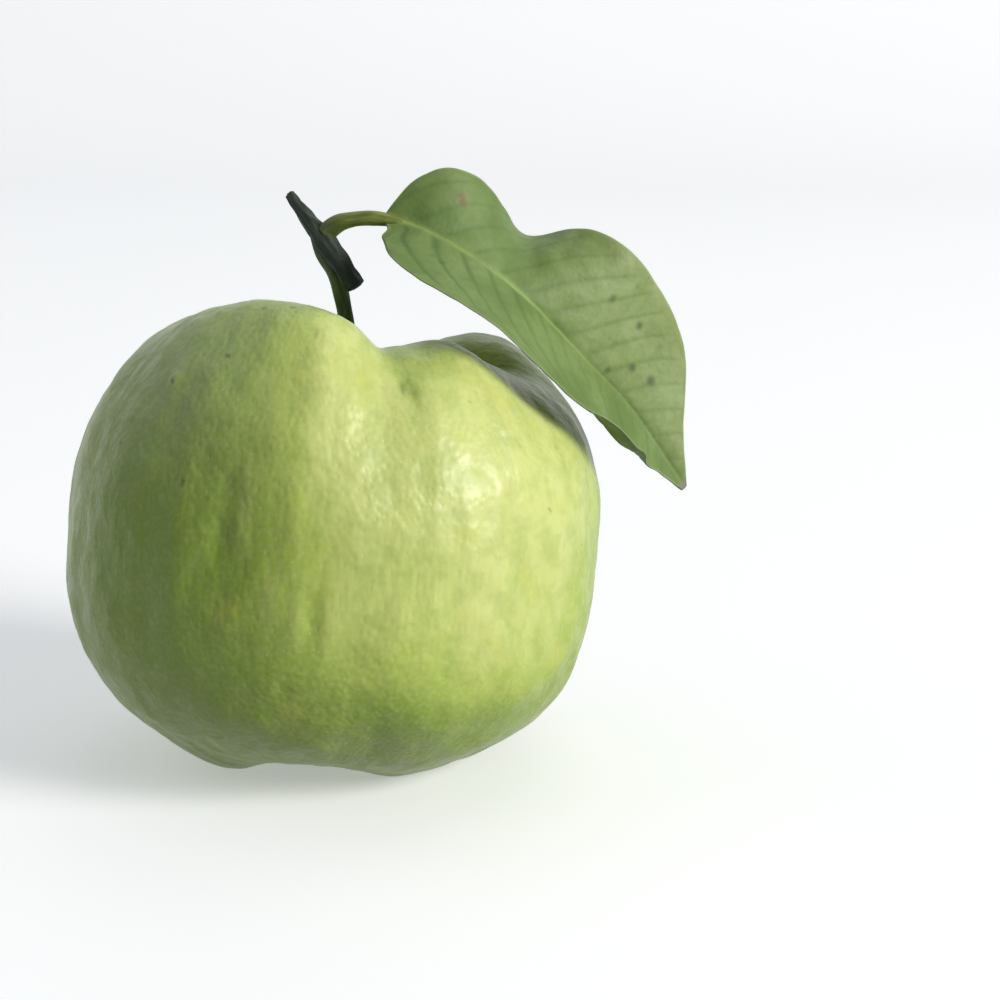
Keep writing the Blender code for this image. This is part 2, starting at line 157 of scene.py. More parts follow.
# The skin is painted paler and yellower on the side that faces this direction, near the window light's:
# partly the fruit's own sun-ripened side, partly painted light
SUNNED_AND_PAINTED_LIGHT_SIDE = (0.57, -0.70, 0.44)

# Twig and stalks, as the solids have them, with radii at shares of their length. The twig runs from its
# tip past a bend and the node to its cut.
TWIG_ROUTE = (
    (-7.5 * MM, 8.0 * MM, 99.7 * MM),
    (-4.55 * MM, 5.4 * MM, 96.1 * MM),
    (-1.2 * MM, 3.1 * MM, 92.4 * MM),
    (4.35 * MM, 0.0, 84.75 * MM),
)
TWIG_RADII = (
    (0.0, 0.8 * MM),
    (0.08, 0.95 * MM),
    (0.2, 1.2 * MM),
    (0.35, 1.5 * MM),
    (0.5, 1.9 * MM),
    (0.62, 1.85 * MM),
    (0.78, 1.75 * MM),
    (1.0, 1.6 * MM),
)

# Fruit stalk: grown into the back of the twig, its foot flared in the floor of the cavity
STALK_ROUTE = (
    (-3.15 * MM, 5.9 * MM, 92.9 * MM),
    (-1.8 * MM, 5.5 * MM, 90.5 * MM),
    (-0.8 * MM, 4.65 * MM, 88.8 * MM),
    (0.2 * MM, 3.75 * MM, 87.1 * MM),
    (1.05 * MM, 3.0 * MM, 85.15 * MM),
    (1.6 * MM, 2.8 * MM, 82.8 * MM),
    (2.15 * MM, 2.85 * MM, 79.8 * MM),
    (2.65 * MM, 2.8 * MM, 75.0 * MM),
    (2.85 * MM, 2.6 * MM, 69.5 * MM),
    (2.7 * MM, 2.6 * MM, 62.5 * MM),
)
STALK_RADII = (
    (0.0, 0.8 * MM),
    (0.08, 1.35 * MM),
    (0.25, 1.5 * MM),
    (0.5, 1.33 * MM),
    (0.8, 1.4 * MM),
    (0.9, 1.7 * MM),
    (1.0, 2.5 * MM),
)

# Leaf stalk: from inside the node over to the base of the blade, where it runs out into the rib
LEAF_STALK_ROUTE = (
    (-0.7 * MM, 3.1 * MM, 93.6 * MM),
    (0.1 * MM, 2.85 * MM, 94.5 * MM),
    (1.65 * MM, 2.2 * MM, 95.55 * MM),
    (3.75 * MM, 1.5 * MM, 96.1 * MM),
    (5.8 * MM, 0.8 * MM, 96.4 * MM),
    (7.45 * MM, 0.35 * MM, 96.5 * MM),
    (9.3 * MM, -0.1 * MM, 96.45 * MM),
    (11.2 * MM, -0.4 * MM, 96.1 * MM),
    (13.4 * MM, -0.75 * MM, 95.5 * MM),
)
LEAF_STALK_RADII = (
    (0.0, 1.7 * MM),
    (0.15, 1.6 * MM),
    (0.35, 1.42 * MM),
    (0.65, 1.25 * MM),
    (0.78, 1.15 * MM),
    (0.9, 0.85 * MM),
    (1.0, 0.5 * MM),
)

# Wrinkles of the stems: width, how many times longer than wide they are, height, seed
TWIG_WRINKLES = (1.3 * MM, 3.0, 0.09 * MM, 51)
STALK_WRINKLES = (1.6 * MM, 4.0, 0.07 * MM, 52)
LEAF_STALK_WRINKLES = (1.8 * MM, 4.0, 0.05 * MM, 53)

# Stems: name, route, radii, rings, sides, wrinkles
STEMS = (
    ("twig", TWIG_ROUTE, TWIG_RADII, 150, 64, TWIG_WRINKLES),
    ("fruit_stalk", STALK_ROUTE, STALK_RADII, 180, 64, STALK_WRINKLES),
    ("leaf_stalk", LEAF_STALK_ROUTE, LEAF_STALK_RADII, 110, 56, LEAF_STALK_WRINKLES),
)

# Bark of each stem: light tone, deep tone, painted shade at the start of the stem by the node, roughness
BARKS = {
    "twig": ((62, 74, 60), (40, 50, 42), (52, 60, 48), 0.7),
    "fruit_stalk": ((106, 128, 70), (70, 90, 50), (56, 68, 44), 0.6),
    "leaf_stalk": ((142, 152, 72), (104, 118, 52), (70, 84, 44), 0.48),
}

# How far a stem's rounded end stands out, in radii, and the widths of its last rings
END_CAP = 0.22
END_STEPS = (0.97, 0.9, 0.72, 0.45, 0.2)

# Leaf blade, as the solids have it
RIB_ROUTE = (
    (9.5 * MM, -0.2 * MM, 96.8 * MM),
    (13.7 * MM, -1.1 * MM, 96.0 * MM),
    (18.7 * MM, -2.5 * MM, 93.9 * MM),
    (27.5 * MM, -3.5 * MM, 88.5 * MM),
    (36.0 * MM, -3.0 * MM, 81.1 * MM),
    (43.95 * MM, 1.5 * MM, 72.05 * MM),
    (52.6 * MM, 7.5 * MM, 62.0 * MM),
    (58.4 * MM, 10.5 * MM, 53.5 * MM),
    (63.5 * MM, 11.5 * MM, 45.6 * MM),
)
LEAF_FACING_TILT = 14.0

# Half width of the blade at shares of its length
HALF_WIDTHS = (
    (0.0, 6.0 * MM),
    (0.06, 11.4 * MM),
    (0.11, 14.0 * MM),
    (0.2, 17.3 * MM),
    (0.3, 19.2 * MM),
    (0.5, 20.3 * MM),
    (0.6, 20.0 * MM),
    (0.7, 18.2 * MM),
    (0.78, 14.4 * MM),
    (0.85, 8.9 * MM),
    (0.9, 5.4 * MM),
    (1.0, 0.5 * MM),
)

# Fold of each half at shares of the length, in degrees: 0 faces the front, less than 0 comes forward
UPPER_FOLD_AT_RIB = (
    (0, 0),
    (0.1, 10),
    (0.21, 30),
    (0.295, 40),
    (0.375, 22),
    (0.46, 6),
    (0.6, 6),
    (0.8, 8),
    (1, 10),
)
UPPER_FOLD_AT_EDGE = (
    (0, 10),
    (0.1, 30),
    (0.21, 69),
    (0.295, 79),
    (0.375, 54),
    (0.46, 26),
    (0.6, 18),
    (0.8, 24),
    (1, 20),
)
LOWER_FOLD_AT_RIB = (
    (0, -10),
    (0.06, -30),
    (0.16, -46),
    (0.3, -55),
    (0.5, -56),
    (0.7, -48),
    (0.84, -52),
    (1, -30),
)
LOWER_FOLD_AT_EDGE = (
    (0, -40),
    (0.06, -56),
    (0.16, -76),
    (0.3, -84),
    (0.5, -97),
    (0.6, -120),
    (0.7, -127),
    (0.78, -124),
    (0.85, -92),
    (1, -50),
)
UPPER_FOLD = (UPPER_FOLD_AT_RIB, UPPER_FOLD_AT_EDGE, 1.3)
LOWER_FOLD = (LOWER_FOLD_AT_RIB, LOWER_FOLD_AT_EDGE, 2.2)

# Each half of the blade: share of the half width, share of the length its base is rounded over, power
UPPER_HALF = (0.97, 0.09, 0.8)
LOWER_HALF = (1.0, 0.185, 0.75)

# Lobe of the lower base: how far it is swept back, at which share of the length, and where it sets in
LOBE_REACH = 2.0 * MM
LOBE_PLACE = 0.032
LOBE_START = 1.6 * MM
LOBE_FULL = 4.8 * MM

# Leaf blade, fine surface: its veins leave the rib at a slope and bend towards the tip
LEAF_THICKNESS = 0.42 * MM
LEAF_ROWS = 300
LEAF_HALF_COLUMNS = 60
VEIN_SPACING = 5.6 * MM
VEIN_SLOPE = 0.62
VEIN_CURVE = 14.0
LOWER_VEINS_SHIFT = 0.35
VEIN_WIDTH = 0.75 * MM
VEIN_GROOVE = 0.05 * MM
VEIN_RIDGE = 0.20 * MM
QUILT_HEIGHT = 0.045 * MM
LEAF_CRINKLES = (4.5 * MM, 0.05 * MM, 41)
LEAF_WAVES = (16 * MM, 0.22 * MM, 42)
RIB_HALF_WIDTH = 0.95 * MM
RIB_LINE_WIDTH = 0.6 * MM
RIB_GROOVE = 0.16 * MM
RIB_RIDGE_AT_BASE = 1.0 * MM
RIB_RIDGE_AT_TIP = 0.15 * MM

# Spots on the leaf: share of its length, place across (upper half above 0), radius, strength
LEAF_DARK_SPOTS = (
    (0.527, 0.575, 0.75 * MM, 0.8),
    (0.637, 0.595, 0.75 * MM, 0.9),
    (0.641, 0.08, 0.62 * MM, 0.9),
    (0.691, 0.29, 0.85 * MM, 0.95),
    (0.747, 0.38, 1.0 * MM, 1.0),
    (0.715, 0.665, 0.6 * MM, 0.35),
    (0.563, 0.82, 0.5 * MM, 0.3),
    (0.15, -0.37, 0.6 * MM, 0.4),
    (0.172, -0.385, 0.5 * MM, 0.4),
)
LEAF_RED_SPOTS = (
    (0.134, 0.53, 0.75 * MM, 1.0),
    (0.126, 0.62, 0.7 * MM, 0.8),
    (0.471, -0.435, 0.6 * MM, 0.6),
)

# How plain the middle rib shows, at shares of the length
RIB_TONE = (
    (0.0, 1.0),
    (0.06, 0.9),
    (0.12, 0.55),
    (0.2, 0.6),
    (0.24, 0.3),
    (0.29, 0.9),
    (0.37, 0.9),
    (0.42, 0.45),
    (0.5, 0.5),
    (0.58, 0.2),
    (1.0, 0.12),
)

# Calyx, as the solids have it, with finer lobes
CALYX_LOBES = 5
CALYX_RADIUS = 5.0 * MM
CALYX_LOBE_REACH = 1.5 * MM
CALYX_THICKNESS = 0.9 * MM
CALYX_GAP = 0.35 * MM
CALYX_CURL = 0.2
CALYX_RIM_BUMPS = (0.5, 0.25 * MM, 31)
CALYX_WRINKLES = (1.1 * MM, 0.12 * MM, 32)
CALYX_HOLLOW = 0.35 * MM
CALYX_SIDES = 300
CALYX_RINGS = 36

# Camera, and the point that the lights face
VIEW_ELEVATION = 14.0
LENS_MM = 85.0
SENSOR_MM = 36.0
CAMERA_PLACE = (21.209 * MM, -408.846 * MM, 148.171 * MM)
LIGHTS_FACE = (-8.0 * MM, 0.0, 45.0 * MM)

# Pale sweep that the fruit stands on, in metres
SWEEP_FRONT = -1.6
SWEEP_FLOOR_END = 0.9
SWEEP_RADIUS = 0.6
SWEEP_TOP = 2.6
SWEEP_HALF_WIDTH = 2.6
SWEEP_GLOW = 0.42

# Lights: name, direction from the fruit, distance and size in metres, watts, tint
LIGHTS = (
    ("window_light", (0.80, -0.44, 0.41), 2.6, 1.0, 69.0, (1.0, 0.985, 0.95)),
    ("sky_fill", (-0.85, 0.16, 0.55), 1.5, 1.6, 3.8, (0.92, 0.96, 1.0)),
    ("top_fill", (0.15, 0.45, 0.9), 1.6, 1.4, 3.0, (0.94, 0.97, 1.0)),
)
AIR_LIGHT = 0.22


def colour(red, green, blue):
    """Linear RGBA of a screen colour given from 0 to 255."""
    screen = np.array([red, green, blue]) / 255
    linear = np.where(screen <= 0.04045, screen / 12.92, ((screen + 0.055) / 1.055) ** 2.4)
    return (float(linear[0]), float(linear[1]), float(linear[2]), 1.0)


def smooth_step(value, low, high):
    """Rises from 0 at low to 1 at high without a corner."""
    share = np.clip((value - low) / (high - low), 0, 1)
    return share * share * (3 - 2 * share)


def through(pairs, at):
    """Smooth curve through (place, value) pairs, read at the places asked for."""
    places, values = np.array(pairs, dtype=float).T
    slopes = np.gradient(values, places)
    left = np.clip(np.searchsorted(places, at) - 1, 0, len(places) - 2)
    step = places[left + 1] - places[left]
    t = (at - places[left]) / step
    start = (2 * t**3 - 3 * t**2 + 1) * values[left] + (t**3 - 2 * t**2 + t) * step * slopes[left]
    end = (3 * t**2 - 2 * t**3) * values[left + 1] + (t**3 - t**2) * step * slopes[left + 1]
    return start + end


def route(points, count):
    """Evenly spaced points on a smooth curve through the given ones."""
    p = np.array(points, dtype=float)
    p = np.vstack([2 * p[0] - p[1], p, 2 * p[-1] - p[-2]])
    spans = len(p) - 3
    u = np.linspace(0, spans, 60 * spans + 1)
    k = np.minimum(u.astype(int), spans - 1)
    t = (u - k)[:, None]
    a, b, c, d = p[k], p[k + 1], p[k + 2], p[k + 3]
    fine = 0.5 * (2 * b + (c - a) * t + (2 * a - 5 * b + 4 * c - d) * t**2 + (3 * b - a - 3 * c + d) * t**3)
    walked = np.concatenate([[0], np.cumsum(np.linalg.norm(np.diff(fine, axis=0), axis=1))])
    even = np.linspace(0, walked[-1], count)
    return np.stack([np.interp(even, walked, fine[:, axis]) for axis in range(3)], axis=1)


def directions(points):
    """Unit direction of travel at each point of a route."""
    ahead = np.gradient(points, axis=0)
    return ahead / np.linalg.norm(ahead, axis=1, keepdims=True)


def unevenness(places, size, seed, waves=40):
    """Smooth seeded bumps about 0: the sum of cosine waves that run through space in random directions."""
    draw = np.random.default_rng(seed)
    ways = draw.normal(size=(waves, 3))
    ways = ways / np.linalg.norm(ways, axis=1, keepdims=True)
    ways = ways * (2 * math.pi / (size * draw.uniform(0.7, 1.4, waves)))[:, None]
    starts = draw.uniform(0, 2 * math.pi, waves)
    total = np.zeros(places.shape[:-1])
    for way, start in zip(ways, starts):
        total += np.cos(places @ way + start)
    return total * math.sqrt(2 / waves)


def relief(places, kind):
    """Height of seeded bumps of one kind, given by their size, height and seed."""
    size, height, seed = kind
    return height * unevenness(places, size, seed)


def bumps(turn, features):
    """Sum of bell-shaped features round the fruit at the given turns."""
    total = np.zeros_like(turn)
    for degrees, spread, size in features:
        away = (turn - math.radians(degrees) + math.pi) % (2 * math.pi) - math.pi
        total = total + size * np.exp(-((away / math.radians(spread)) ** 2))
    return total


def furrow_depth(fall, turn):
    """Sum of the furrows, each shrinking to a third of its size at its own fall."""
    total = np.zeros(np.broadcast(fall, turn).shape)
    for degrees, spread, size, reach in FURROWS:
        total = total + bumps(turn, ((degrees, spread, size),)) * np.exp(-((fall / math.radians(reach)) ** 4))
    return total


def lean(points):
    """Tips the fruit's axis to the right and back, and moves its centre to its place."""
    x, y, z = points[..., 0], points[..., 1], points[..., 2]
    right = math.radians(FRUIT_LEAN_RIGHT)
    back = math.radians(FRUIT_LEAN_BACK)
    x, z = x * math.cos(right) + z * math.sin(right), z * math.cos(right) - x * math.sin(right)
    y, z = y * math.cos(back) + z * math.sin(back), z * math.cos(back) - y * math.sin(back)
    return np.stack([x, y, z], axis=-1) + FRUIT_CENTRE


def fruit_surface(fall, turn):
    """Plain skin of the fruit: fall from 0 at the stalk to pi at the blossom end, turn round the axis.

    A meridian is a rounded square curve. Furrows pull it in and lower its shoulders, the shoulders
    raise it, a cavity and a basin dimple its ends, and low lobes swell under it.
    """
    side, height = np.sin(fall), np.cos(fall)
    power = np.where(height > 0, ROUNDNESS_UP, ROUNDNESS_DOWN)
    out = np.abs(side) ** (2 / power)
    rise = np.sign(height) * np.abs(height) ** (2 / power) * np.where(height > 0, FRUIT_UP, FRUIT_DOWN)
    furrow = furrow_depth(fall, turn)
    crown = np.exp(-(((out - 0.6) / 0.34) ** 2)) * smooth_step(height, 0, 0.45) * smooth_step(out, 0, 0.3)
    shoulder_share = 0.62 * np.exp(-(((fall - 0.78) / 0.42) ** 2))
    base_share = 0.55 * np.exp(-(((fall - 2.5) / 0.4) ** 2))
    out = out * (1 - furrow / FRUIT_HALF_WIDTH * (0.13 + shoulder_share + base_share))
    x = FRUIT_HALF_WIDTH * out * np.cos(turn)
    y = FRUIT_HALF_DEPTH * out * np.sin(turn)
    from_axis = np.hypot(x, y)
    z = rise + crown * (bumps(turn, SHOULDERS) - 0.95 * furrow)
    z = z - CAVITY_DEPTH * np.exp(-((from_axis / CAVITY_RADIUS) ** 1.6)) * (height > 0)
    z = z + BASIN_DEPTH * np.exp(-((from_axis / BASIN_RADIUS) ** 2)) * (height < 0)
    z = z - bumps(turn, FEET) * np.exp(-(((out - FEET_RING) / FEET_RING_SPREAD) ** 2)) * (height < 0)
    return lean(np.stack([x, y, z], axis=-1))


def even_falls(count):
    """Values of fall that space the rings evenly along a meridian."""
    fine = np.linspace(0, math.pi, 4001)
    line = fruit_surface(fine, np.full_like(fine, math.pi))
    walked = np.concatenate([[0], np.cumsum(np.linalg.norm(np.diff(line, axis=0), axis=1))])
    return np.interp(np.linspace(0, walked[-1], count), walked, fine)


def round_normals(rings):
    """Unit normals of a grid of rings that closes on itself round the axis, facing away from it."""
    down = np.gradient(rings, axis=0)
    round_it = np.roll(rings, -1, axis=1) - np.roll(rings, 1, axis=1)
    normal = np.cross(down, round_it)
    return normal / np.linalg.norm(normal, axis=2, keepdims=True)


def sheet_normals(grid):
    """Unit normals of an open grid of points."""
    normal = np.cross(np.gradient(grid, axis=0), np.gradient(grid, axis=1))
    return normal / np.linalg.norm(normal, axis=2, keepdims=True)


def ring_faces(rings, sides):
    """Faces of stacked rings closed by a first and a last point, as two arrays: triangles and quads."""
    side = np.arange(sides)
    after = (side + 1) % sides
    first = np.stack([np.zeros(sides, int), 1 + side, 1 + after], axis=1)
    start = 1 + (np.arange(rings - 1) * sides)[:, None]
    quads = np.stack([start + side, start + sides + side, start + sides + after, start + after], axis=2)
    end = 1 + (rings - 1) * sides
    last = np.stack([np.full(sides, rings * sides + 1), end + after, end + side], axis=1)
    return np.concatenate([first, last]), quads.reshape(-1, 4)


def sheet_faces(rows, columns):
    """Quads of a thin closed sheet: front grid, back grid and the strip round its margin."""
    index = np.arange(rows * columns).reshape(rows, columns)
    front = np.stack([index[:-1, :-1], index[1:, :-1], index[1:, 1:], index[:-1, 1:]], axis=2).reshape(-1, 4)
    shift = rows * columns
    back = front[:, ::-1] + shift
    border = np.concatenate([index[:, 0], index[-1, 1:], index[-2::-1, -1], index[0, -2:0:-1]])
    ahead = np.roll(border, -1)
    strip = np.stack([ahead, border, border + shift, ahead + shift], axis=1)
    return np.concatenate([front, back, strip])


def volume(points, faces):
    """Six times the volume inside a closed body of polygons, less than 0 if its faces look inwards."""
    total = 0.0
    for part in faces:
        for second in range(1, part.shape[1] - 1):
            a, b, c = points[part[:, 0]], points[part[:, second]], points[part[:, second + 1]]
            total += np.einsum("ij,ij->", a, np.cross(b, c))
    return total


def make_piece(name, points, faces, look, replaced, attributes):
    """One smooth mesh from whole arrays, with its attributes, look, slot and the solid it stands for."""
    if volume(points, faces) < 0:
        faces = [part[:, ::-1] for part in faces]
    mesh = bpy.data.meshes.new(name)
    corners = np.concatenate([part.reshape(-1) for part in faces])
    sizes = np.concatenate([np.full(len(part), part.shape[1]) for part in faces])
    mesh.vertices.add(len(points))
    mesh.vertices.foreach_set("co", (points - BOX_MIDDLE).astype(np.float32).reshape(-1))
    mesh.loops.add(len(corners))
    mesh.loops.foreach_set("vertex_index", corners.astype(np.int32))
    mesh.polygons.add(len(sizes))
    mesh.polygons.foreach_set("loop_start", np.concatenate([[0], np.cumsum(sizes)[:-1]]).astype(np.int32))
    mesh.update(calc_edges=True)
    mesh.validate()
    for title, values in attributes.items():
        kind, key = ("FLOAT_VECTOR", "vector") if values.ndim == 2 else ("FLOAT", "value")
        layer = mesh.attributes.new(title, kind, "POINT")
        layer.data.foreach_set(key, values.astype(np.float32).reshape(-1))
    mesh.shade_smooth()
    mesh.materials.append(look)
    piece = bpy.data.objects.new(name, mesh)
    bpy.context.scene.collection.objects.link(piece)
    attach(piece, "root")
    if replaced:
        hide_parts(replaced)
    return piece


# Skin of the fruit
def marked(rings, falls, turns, features):
    """Sum of soft oval marks on the skin, each given by turn, fall, reach along, reach round and height."""
    total = np.zeros(rings.shape[:2])
    for turn, fall, along, across, height in features:
        centre = fruit_surface(np.array(math.radians(fall)), np.array(math.radians(turn)))
        axis_turn = (turns[None, :] - math.radians(turn) + math.pi) % (2 * math.pi) - math.pi
        distance = np.linalg.norm(rings - centre, axis=2)
        round_it = np.sin(axis_turn) * FRUIT_HALF_WIDTH * np.sin(falls)[:, None]
        along_it = np.sqrt(np.clip(distance**2 - round_it**2, 0, None))
        total = total + height * np.exp(-((along_it / along) ** 2) - ((round_it / across) ** 2))
    return total


def make_skin(look):
    """The plain skin plus lumps, ribs, dents and scars along its normal, pressed flat on the ground.

    Ribs are the same unevenness read on a drum round the fruit whose length is squeezed, so that it
    runs from end to end.
    """
    falls = even_falls(SKIN_RINGS + 2)[1:-1]
    turns = np.linspace(0, 2 * math.pi, SKIN_SIDES, endpoint=False)
    rings = fruit_surface(falls[:, None], turns[None, :])
    normal = round_normals(rings)
    drum = np.stack(np.broadcast_arrays(
        FRUIT_HALF_WIDTH * np.cos(turns)[None, :],
        FRUIT_HALF_WIDTH * np.sin(turns)[None, :],
        FRUIT_HALF_WIDTH * falls[:, None],
    ), axis=-1)
    height = np.zeros(rings.shape[:2])
    for lumps in SKIN_LUMPS:
        height += relief(rings, lumps)
    squeezed = drum * (1, 1, 1 / SKIN_RIB_LENGTH)
    open_side = np.sin(falls)[:, None] ** 0.7
    height += SKIN_RIB_HEIGHT * open_side * unevenness(squeezed, SKIN_RIB_WIDTH, SKIN_RIB_SEED)
    height += marked(rings, falls, turns, SKIN_MARKS)
    ends = np.minimum(falls, math.pi - falls)
    height *= smooth_step(ends, 0.02, 0.25)[:, None]
    rings = rings + height[..., None] * normal
    poles = fruit_surface(np.array([0.0, math.pi]), np.zeros(2))
    points = np.vstack([poles[:1], rings.reshape(-1, 3), poles[1:]])
    points[:, 2] = np.maximum(points[:, 2], 0)
    triangles, quads = ring_faces(SKIN_RINGS, SKIN_SIDES)

    def with_ends(values, first, last):
        """One row of values for the skin's points: the grid's with those of the two end points."""
        flat = values.reshape(-1, values.shape[-1]) if values.ndim == 3 else values.reshape(-1)
        return np.concatenate([[first], flat, [last]])

    # Furrow share, also used to paint shade into the furrows
    furrow = furrow_depth(falls[:, None], turns[None, :]) / max(size for _, _, size, _ in FURROWS)
    furrow = furrow * smooth_step(math.pi / 2 - falls, -0.5, 0.6)[:, None]
    stains = np.clip(marked(rings, falls, turns, SKIN_STAINS), 0, 1)
    # How far each point faces the window light, for the painted light in the skin's tone
    sunned_and_painted_light = 0.5 + 0.5 * normal @ (np.array(SUNNED_AND_PAINTED_LIGHT_SIDE) / np.linalg.norm(SUNNED_AND_PAINTED_LIGHT_SIDE))
    # Raised marks, painted pale both as real scars and as painted sheen along the raised ridges
    scars = np.clip(marked(rings, falls, turns, SKIN_MARKS) / MM * 3, 0, 1)
    cavity = 1 - smooth_step(np.degrees(falls), 3, 16)[:, None] + 0 * turns[None, :]
    attributes = {
        "drum": with_ends(drum, np.zeros(3), np.array([0, 0, math.pi * FRUIT_HALF_WIDTH])),
        "furrow": with_ends(furrow, 0, 0),
        "stain": with_ends(stains, 0, 0),
        "scar_and_sheen": with_ends(scars, 0, 0),
        "cavity": with_ends(cavity, 1, 0),
        "sunned_and_painted_light": with_ends(sunned_and_painted_light, 0.6, 0.3),
    }
    return make_piece("guava_skin", points, [triangles, quads], look, "fruit", attributes)


# Calyx under the fruit
def make_calyx(look):
    """Star-shaped cup on the ceiling of the basin: a ring plus five pointed lobes, wrinkled and curled."""
    turns = np.linspace(0, 2 * math.pi, CALYX_SIDES, endpoint=False)
    lobes = (0.5 + 0.5 * np.cos(CALYX_LOBES * turns)) ** 1.6 * 2 - 1
    circle = np.stack([np.cos(turns), np.sin(turns), 0 * turns], axis=1)
    edge = CALYX_RADIUS + CALYX_LOBE_REACH * lobes + relief(circle, CALYX_RIM_BUMPS)
    edge = np.minimum(edge, CALYX_RADIUS + 1.05 * CALYX_LOBE_REACH)
    share = (np.arange(CALYX_RINGS) + 1) / CALYX_RINGS
    from_axis = share[:, None] * edge[None, :]
    fall = math.pi - np.arcsin((from_axis / FRUIT_HALF_WIDTH) ** (ROUNDNESS_DOWN / 2))
    upper = fruit_surface(fall, turns[None, :])
    upper[..., 2] -= CALYX_GAP + CALYX_CURL * np.clip(from_axis - CALYX_RADIUS, 0, None)
    lower = upper.copy()
    thickness = CALYX_THICKNESS * (1.0 - 0.65 * share[:, None])
    wrinkles = relief(upper * (1, 1, 0), CALYX_WRINKLES) * np.sin(math.pi * share)[:, None]
    hollow = CALYX_HOLLOW * np.exp(-(((share - 0.55) / 0.16) ** 2))[:, None]
    lower[..., 2] -= np.maximum(thickness - hollow + wrinkles, 0.15 * MM)
    rings = np.concatenate([upper, lower[::-1]])
    ceiling = fruit_surface(np.array(math.pi), np.array(0.0)) - (0, 0, CALYX_GAP)
    points = np.vstack([ceiling, rings.reshape(-1, 3), ceiling - (0, 0, CALYX_THICKNESS)])
    triangles, quads = ring_faces(len(rings), CALYX_SIDES)
    rim = np.concatenate([[0], np.broadcast_to(share[:, None], upper.shape[:2]).reshape(-1)])
    rim = np.concatenate([rim, np.broadcast_to(share[::-1, None], upper.shape[:2]).reshape(-1), [0]])
    faces = [triangles[:, ::-1], quads[:, ::-1]]
    return make_piece("dried_calyx", points, faces, look, "calyx", {"rim": rim})


# Twig and stalks
def make_stem(name, points, radii, rings, sides, wrinkles, look):
    """Round stem along a route: its radius follows (share, radius) pairs plus seeded wrinkles along it.

    The ends are drawn in to a low point over a few rings. The stem stands for the solid of its name.
    """
    middle = route(points, rings)
    ahead = directions(middle)
    across = np.cross(ahead, (0.0, -1.0, 0.2))
    across = across / np.linalg.norm(across, axis=1, keepdims=True)
    over = np.cross(across, ahead)
    turns = np.linspace(0, 2 * math.pi, sides, endpoint=False)
    share = np.linspace(0, 1, rings)
    radius = through(radii, share)
    length = np.linalg.norm(np.diff(middle, axis=0), axis=1).sum()
    width, stretch, height, seed = wrinkles
    places = np.stack(np.broadcast_arrays(
        radius.mean() * np.cos(turns)[None, :],
        radius.mean() * np.sin(turns)[None, :],
        length * share[:, None] / stretch,
    ), axis=-1)
    outwards = np.cos(turns)[None, :, None] * across[:, None] + np.sin(turns)[None, :, None] * over[:, None]
    reach = radius[:, None] + height * unevenness(places, width, seed)
    body = middle[:, None] + reach[..., None] * outwards
    steps = np.array(END_STEPS)
    cap = END_CAP * np.sqrt(1 - steps**2)
    start = middle[0] + steps[::-1, None, None] * (body[:1] - middle[0])
    start = start - (cap[::-1] * radius[0])[:, None, None] * ahead[0]
    end = middle[-1] + steps[:, None, None] * (body[-1:] - middle[-1])
    end = end + (cap * radius[-1])[:, None, None] * ahead[-1]
    all_rings = np.concatenate([start, body, end])
    first = middle[0] - END_CAP * radius[0] * ahead[0]
    last = middle[-1] + END_CAP * radius[-1] * ahead[-1]
    vertices = np.vstack([first, all_rings.reshape(-1, 3), last])
    triangles, quads = ring_faces(len(all_rings), sides)
    along = np.concatenate([np.zeros(len(steps)), share, np.ones(len(steps))])
    grown = np.stack(np.broadcast_arrays(
        radius.mean() * np.cos(turns)[None, :],
        radius.mean() * np.sin(turns)[None, :],
        length * along[:, None],
    ), axis=-1).reshape(-1, 3)
    grown = np.vstack([np.zeros(3), grown, [0, 0, length]])
    along = np.concatenate([[0], np.repeat(along, sides), [1]])
    attributes = {"grown": grown, "along": along}
    return make_piece(name, vertices, [triangles, quads], look, name, attributes)


# Leaf
def half_widths(along, half):
    """Length of each row of one half of the blade, rounded off towards its base."""
    share, reach, power = half
    return share * through(HALF_WIDTHS, along) * (1 - (1 - np.minimum(along / reach, 1)) ** 2) ** power


def lobe_sweep(along, reach):
    """How far the lower half is swept back at a share of the length and a distance from the rib."""
    back = LOBE_REACH * (along / LOBE_PLACE) * np.exp(1 - along / LOBE_PLACE)
    return back * smooth_step(reach, LOBE_START, LOBE_FULL)


def blade_half(rib, along, half_width, side, fold, columns):
    """Middle surface of one half of the blade, from the rib outwards.

    Each row starts on the rib and bends through the fold angles, so that its length on the
    surface stays the half width of the leaf there.
    """
    tilt = math.radians(LEAF_FACING_TILT)
    facing = np.array([0.0, -math.cos(tilt), math.sin(tilt)])
    ahead = directions(rib)
    across = np.cross(facing, ahead)
    across = across / np.linalg.norm(across, axis=1, keepdims=True)
    behind = np.cross(ahead, across)
    behind = behind * np.where(behind[:, 1:2] < 0, -1.0, 1.0)
    fine = np.linspace(0, 1, 301)
    at_rib, at_edge, power = fold
    first = np.radians(through(at_rib, along))[:, None]
    last = np.radians(through(at_edge, along))[:, None]
    angle = first + (last - first) * fine[None, :] ** power
    step = half_width[:, None] / (len(fine) - 1)
    middle = 0.5 * (angle[:, 1:] + angle[:, :-1])
    start = np.zeros((len(along), 1))
    out = np.concatenate([start, np.cumsum(np.cos(middle) * step, axis=1)], axis=1)
    away = np.concatenate([start, np.cumsum(np.sin(middle) * step, axis=1)], axis=1)
    pick = np.rint(columns * (len(fine) - 1)).astype(int)
    sideways = side * out[:, pick, None] * across[:, None]
    surface = rib[:, None] + sideways + away[:, pick, None] * behind[:, None]
    if side < 0:
        reach = half_width[:, None] * columns
        surface = surface - lobe_sweep(along[:, None], reach)[..., None] * ahead[:, None]
    return surface


def vein_place(along, reach, share):
    """Where a point lies between two side veins, in vein spacings; share is 1 on the lower half."""
    shift = VEIN_SLOPE * reach + VEIN_CURVE * reach**2
    return (along - shift) / VEIN_SPACING + LOWER_VEINS_SHIFT * share


